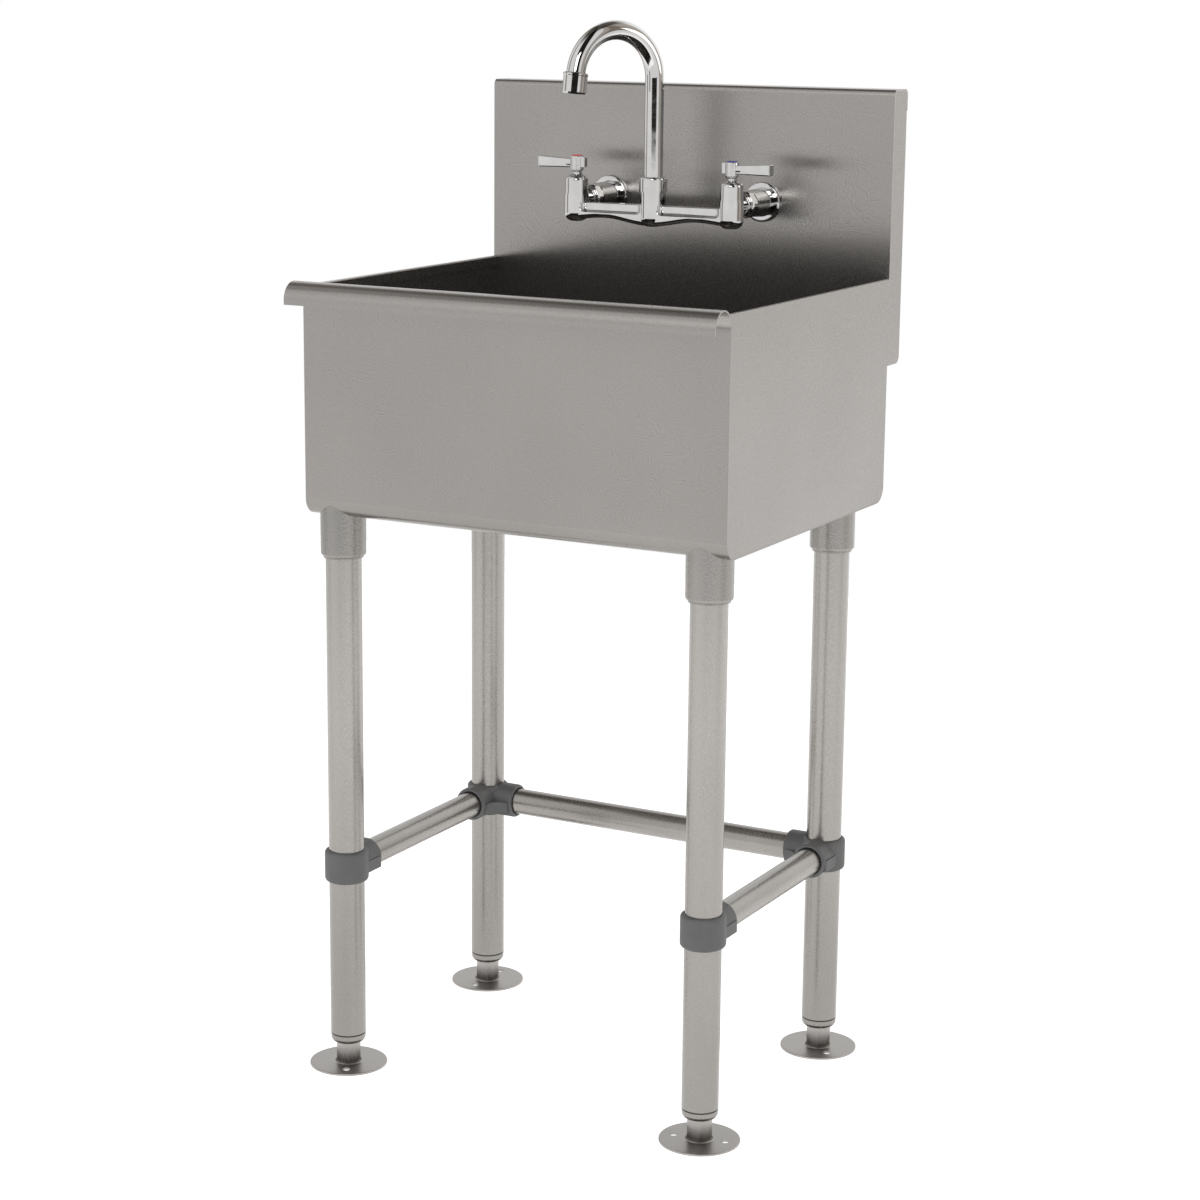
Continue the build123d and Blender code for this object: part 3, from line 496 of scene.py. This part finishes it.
# %% [markdown]
# ## Pipe threads
# The solids leave the shanks and the drain outlet smooth, because a thread is
# too fine for them. A real pipe thread is a V-shaped ridge that winds along
# the pipe and fades at both ends. It could be cut out of the pipe, but a ridge
# laid on the smooth wall looks the same and leaves the solid as it is: three
# points, base, crest and base, step round the pipe and along it. Its base
# sinks a little into the wall, so that no gap shows.

# %% Thread helper
thread_steps = 36
thread_half_width = 0.42
thread_least = 0.05
crest_clear = 0.00005
base_sunk = 0.00015


def thread_ridge(name, start, along, radius, height, pitch, turns, body):
    along = Vector(along).normalized()
    first = along.orthogonal().normalized()
    second = along.cross(first)
    ridge = bmesh.new()
    count = int(turns * thread_steps)
    rings = []
    for step in range(count + 1):
        angle = 2 * pi * step / thread_steps
        fade = max(min(1.0, step / thread_steps, (count - step) / thread_steps), thread_least)
        outward = cos(angle) * first + sin(angle) * second
        middle = Vector(start) + along * pitch * step / thread_steps
        base = middle + outward * (radius - base_sunk)
        crest = middle + outward * (radius + crest_clear + height * fade)
        aside = along * (thread_half_width * pitch * fade)
        rings.append([ridge.verts.new(point) for point in (base - aside, crest, base + aside)])
    for one, other in zip(rings, rings[1:]):
        for side in range(3):
            following = (side + 1) % 3
            ridge.faces.new((one[side], one[following], other[following], other[side]))
    ridge.faces.new(rings[0])
    ridge.faces.new(list(reversed(rings[-1])))
    bmesh.ops.recalc_face_normals(ridge, faces=ridge.faces)
    mesh = bpy.data.meshes.new(name)
    ridge.to_mesh(mesh)
    ridge.free()
    piece = bpy.data.objects.new(name, mesh)
    scene.collection.objects.link(piece)
    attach(piece, body)
    print(name, turns, "turns")
    return piece


# %% [markdown]
# ## Where the threads go
# Each shank's thread fills its tail behind the locknut, so its length comes
# from the boxes of those two solids. The drain's thread starts at the mouth
# of the outlet, which the record gives as a place where a trap is fastened.

# %% Shank threads
shank_radius = 0.0104
shank_ridge = 0.0006
shank_pitch = 0.00181
shank_margin = 0.0022
for side in side_names:
    low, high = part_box(f"inlet_shank_{side}")
    nut_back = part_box(f"shank_locknut_{side}")[1][1]
    tail_start = nut_back + shank_margin
    tail_turns = int((high[1] - shank_margin - tail_start) / shank_pitch)
    tail_middle = ((low[0] + high[0]) / 2, tail_start, (low[2] + high[2]) / 2)
    thread = thread_ridge(f"shank_thread_{side}", tail_middle, (0, 1, 0), shank_radius, shank_ridge,
                          shank_pitch, tail_turns, "stand")
    thread.data.materials.append(chrome)

# %% Drain thread
outlet_radius = 0.02415
outlet_ridge = 0.0007
outlet_pitch = 0.0022
outlet_turns = 6
outlet_margin = 0.002
outlet = next(m for m in frame["record"]["mounts"] if m["name"] == "drain_outlet")["pos_m"]
outlet_start = (outlet[0], outlet[1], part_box("drain_body")[0][2] + outlet_margin)
thread = thread_ridge("drain_thread", outlet_start, (0, 0, 1), outlet_radius, outlet_ridge,
                      outlet_pitch, outlet_turns, "stand")
thread.data.materials.append(drain_steel)

# %% [markdown]
# ## Aerator screen
# The aerator mixes air into the water through a fine wire screen, which shows
# when the mouth is seen from below. A disc with a painted mesh would look flat
# there, and every wire as a tube would be heavy. A square grid cut to a circle
# and turned into wires by a wireframe modifier is quick, and it stays light
# because only the wires are kept. It rides with the gooseneck.

# %% Screen
mouth = next(m for m in frame["record"]["mounts"] if m["name"] == "water_outlet")
mouth_place = Vector(mouth["pos_m"])
mouth_axis = Vector(mouth["axis"]).normalized()
screen_depth = 0.0035
screen_radius = 0.0092
screen_wires = 14
wire_thickness = 0.00045
screen = bmesh.new()
bmesh.ops.create_grid(screen, x_segments=screen_wires, y_segments=screen_wires, size=screen_radius)
outside = [v for v in screen.verts if v.co.length > screen_radius]
bmesh.ops.delete(screen, geom=outside, context="VERTS")
facing = Vector((0, 0, 1)).rotation_difference(mouth_axis).to_matrix().to_4x4()
screen.transform(Matrix.Translation(mouth_place - mouth_axis * screen_depth) @ facing)
screen_mesh = bpy.data.meshes.new("aerator_screen")
screen.to_mesh(screen_mesh)
screen.free()
screen_piece = bpy.data.objects.new("aerator_screen", screen_mesh)
scene.collection.objects.link(screen_piece)
wires = screen_piece.modifiers.new("wires", "WIREFRAME")
wires.thickness = wire_thickness
screen_mesh.materials.append(screw_steel)
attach(screen_piece, "gooseneck")
print("screen of", screen_wires, "wires each way")

# %% [markdown]
# ## Floor
# The photograph has a clean white ground. White air alone would do for that,
# but the sink would float in it. The floor is a large pale plane that really
# takes the light and the shadow, and it adds a little of its own light only
# for the eye and for mirrors, so that it reads as white without throwing more
# light on the sink.

# %% Floor
floor_half = 2.5
floor_grey = (0.86, 0.86, 0.86, 1.0)
floor_lift = 0.72
white = (1.0, 1.0, 1.0)
floor_corners = [
    (-floor_half, -floor_half, 0),
    (floor_half, -floor_half, 0),
    (floor_half, floor_half, 0),
    (-floor_half, floor_half, 0),
]
floor_mesh = bpy.data.meshes.new("studio_floor")
floor_mesh.from_pydata(floor_corners, [], [(0, 1, 2, 3)])
floor = bpy.data.objects.new("studio_floor", floor_mesh)
scene.collection.objects.link(floor)
print("floor", 2 * floor_half, "m wide")

# %% Floor paint
floor_paint = bpy.data.materials.new("floor_paint")
floor_paint.use_nodes = True
tree = floor_paint.node_tree
tree.nodes.clear()
path = add_node(tree, "ShaderNodeLightPath")
seen = calculate(tree, "MAXIMUM", path.outputs["Is Camera Ray"], path.outputs["Is Glossy Ray"])
seen_through = calculate(tree, "MAXIMUM", seen, path.outputs["Is Transmission Ray"])
lift = calculate(tree, "MULTIPLY", seen_through, floor_lift)
matte = add_node(tree, "ShaderNodeBsdfDiffuse", Color=floor_grey)
own = add_node(tree, "ShaderNodeEmission", Color=solid_colour(white), Strength=lift)
total = add_node(tree, "ShaderNodeAddShader")
feed(tree, total.inputs[0], matte.outputs["BSDF"])
feed(tree, total.inputs[1], own.outputs["Emission"])
add_node(tree, "ShaderNodeOutputMaterial", Surface=total.outputs["Shader"])
floor_mesh.materials.append(floor_paint)
print(floor_paint.name, "lifted by", floor_lift)

# %% [markdown]
# ## Air
# The air is white low down, with a dark cap overhead, as in a studio with a
# black ceiling. Each turned edge mirrors that cap once, which draws the thin
# dark band along the rolled rim. The cap leans a little away from the camera,
# so that the band starts just below the crest. A dot product with the cap's
# direction tells how near a ray points to it.

# %% Air and its dark cap
to_camera = atan2(camera_place.y, camera_place.x)
cap_lean = radians(8.0)
cap_edge = 0.76
cap_full = 0.92
cap_dark = (0.12, 0.11, 0.10)


def vector_step(tree, operation, *vectors):
    node = tree.nodes.new("ShaderNodeVectorMath")
    node.operation = operation
    for socket, vector in zip(node.inputs, vectors):
        feed(tree, socket, vector)
    return node.outputs


world = bpy.data.worlds.new("studio_air")
scene.world = world
world.use_nodes = True
tree = world.node_tree
tree.nodes.clear()
ray = add_node(tree, "ShaderNodeTexCoord").outputs["Generated"]
ray_height = add_node(tree, "ShaderNodeSeparateXYZ", Vector=ray).outputs["Z"]
cap_middle = (-sin(cap_lean) * cos(to_camera), -sin(cap_lean) * sin(to_camera), cos(cap_lean))
overhead = vector_step(tree, "DOT_PRODUCT", ray, cap_middle)["Value"]
air_colour = tint(tree, spread(tree, overhead, 0.0, 1.0, cap_edge, cap_full), white, cap_dark)
print("air", world.name, "with a cap leaning", round(cap_lean, 3))

# %% [markdown]
# ## Flags and boards
# Polished tube would look flat in plain white air, so dark flags and a bright
# board stand on end round the room, as photographers place them, to draw
# streaks on the chrome. They could be planes with a paint of their own, but
# the lamps would light them and the poses would see them. Here each only
# multiplies the air where a ray points at it. The flags stop short of the
# floor, because the basin's flat sides mirror what is low down, and a flag
# there would darken them.

# %% Flags and boards
flag_warmth = 0.84
flag_rise = 0.022
flag_starts = 0.20
flag_whole = 0.55
# For each: how far it is turned from the camera, its half width and its
# softness in degrees, how bright it is, and how low it starts
flags = [
    (-2.0, 20.0, 15.0, 0.02, -0.064),
    (-96.0, 3.0, 6.0, 0.30, -0.14),
    (-150.0, 8.0, 8.0, 0.45, -0.14),
    (84.0, 24.0, 12.0, 0.50, -0.14),
    (66.0, 2.0, 5.0, 0.55, -0.14),
    (124.0, 28.0, 16.0, 1.24, -0.60),
]
flat = vector_step(tree, "MULTIPLY", ray, (1.0, 1.0, 0.0))["Vector"]
around = vector_step(tree, "NORMALIZE", flat)["Vector"]
for turned_by, half_width, soft, brightness, lowest in flags:
    bearing = to_camera + radians(turned_by)
    toward = vector_step(tree, "DOT_PRODUCT", around, (cos(bearing), sin(bearing), 0.0))["Value"]
    outer = cos(radians(half_width + soft))
    inner = cos(radians(half_width))
    inside = spread(tree, toward, 0.0, 1.0, outer, inner)
    raised = spread(tree, ray_height, 0.0, 1.0, lowest, lowest + flag_rise)
    covered = calculate(tree, "MULTIPLY", inside, raised)
    shown = spread(tree, covered, 0.0, 1.0, flag_starts, flag_whole)
    warm = 1.0 if brightness > 1.0 else flag_warmth
    flag_colour = (brightness, brightness * sqrt(warm), brightness * warm)
    air_colour = darken_by(tree, air_colour, tint(tree, shown, white, flag_colour))
print(len(flags), "flags and boards")

# %% [markdown]
# ## White behind the sink
# The eye must see plain white behind the sink, while mirrors and the light
# itself see the room. The light path tells which ray is asking.

# %% White ground
path = add_node(tree, "ShaderNodeLightPath")
open_air = tint(tree, path.outputs["Is Camera Ray"], air_colour, white)
air = add_node(tree, "ShaderNodeBackground", Color=open_air, Strength=1.0)
add_node(tree, "ShaderNodeOutputWorld", Surface=air.outputs["Background"])
print(world.name, "is white to the eye")

# %% [markdown]
# ## Lamps
# Two broad soft lamps model the forms: one stands high in front and lights the
# front and the splash, and a weaker one on the right lifts the side of the
# basin a little above the front. Small lamps would draw hard shadows and small
# hot spots on the tubes, and broad ones leave both soft.

# %% Lamps
lamp_target = Vector((0.0, 0.0, 0.7))


def soft_lamp(name, place, width, power):
    data = bpy.data.lights.new(name, "AREA")
    data.shape = "SQUARE"
    data.size = width
    data.energy = power
    lamp = bpy.data.objects.new(name, data)
    aim = (lamp_target - Vector(place)).to_track_quat("-Z", "Y")
    lamp.matrix_world = Matrix.Translation(place) @ aim.to_matrix().to_4x4()
    scene.collection.objects.link(lamp)
    print(name, power, "W")


soft_lamp("front_lamp", (0.9, -2.9, 2.3), 1.4, 28.0)
soft_lamp("side_lamp", (3.0, 1.0, 1.7), 1.2, 10.0)
